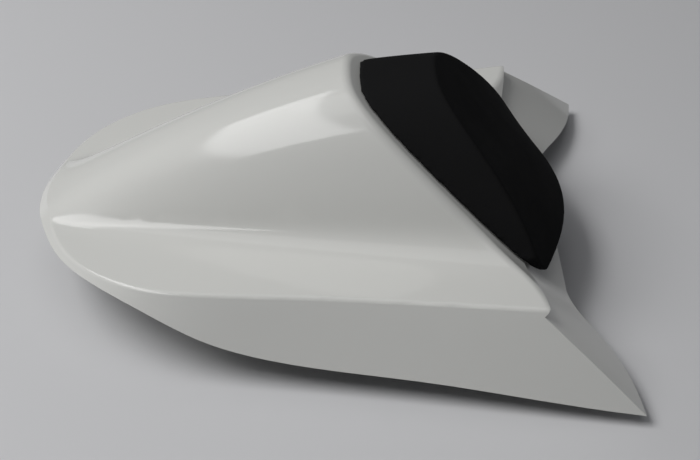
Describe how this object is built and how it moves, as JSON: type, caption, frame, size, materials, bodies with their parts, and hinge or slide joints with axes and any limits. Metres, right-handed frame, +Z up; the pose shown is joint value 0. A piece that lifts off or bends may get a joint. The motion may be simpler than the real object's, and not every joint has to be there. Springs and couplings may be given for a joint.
{
  "type": "motorbike seat cowl",
  "caption": "Glossy hump-shaped hard cover for a motorbike's pillion seat, with flared skirt wings, a black back pad on its front wall and a striker and tongue under it.",
  "frame": {"origin": "middle of the length and width, on the plane of the bumpers' undersides", "axes": "+X forward, toward the rider; +Y to the left; +Z up"},
  "size_m": [0.3569, 0.3394, 0.1359],
  "materials": {
    "shell_white": "moulded, high gloss, warm white",
    "pad_black": "matte, fine grain",
    "plated_steel": "zinc plated",
    "bumper_rubber": "moulded, matte",
    "screw_steel": "zinc plated"
  },
  "bodies": {
    "root": {"cowl_shell": "shell_white", "back_pad": "pad_black", "cross_strap": "plated_steel", "striker_loop": "plated_steel", "rear_tongue": "plated_steel", "rubber_bumpers": "bumper_rubber", "mounting_screws": "screw_steel"}
  },
  "joints": []
}
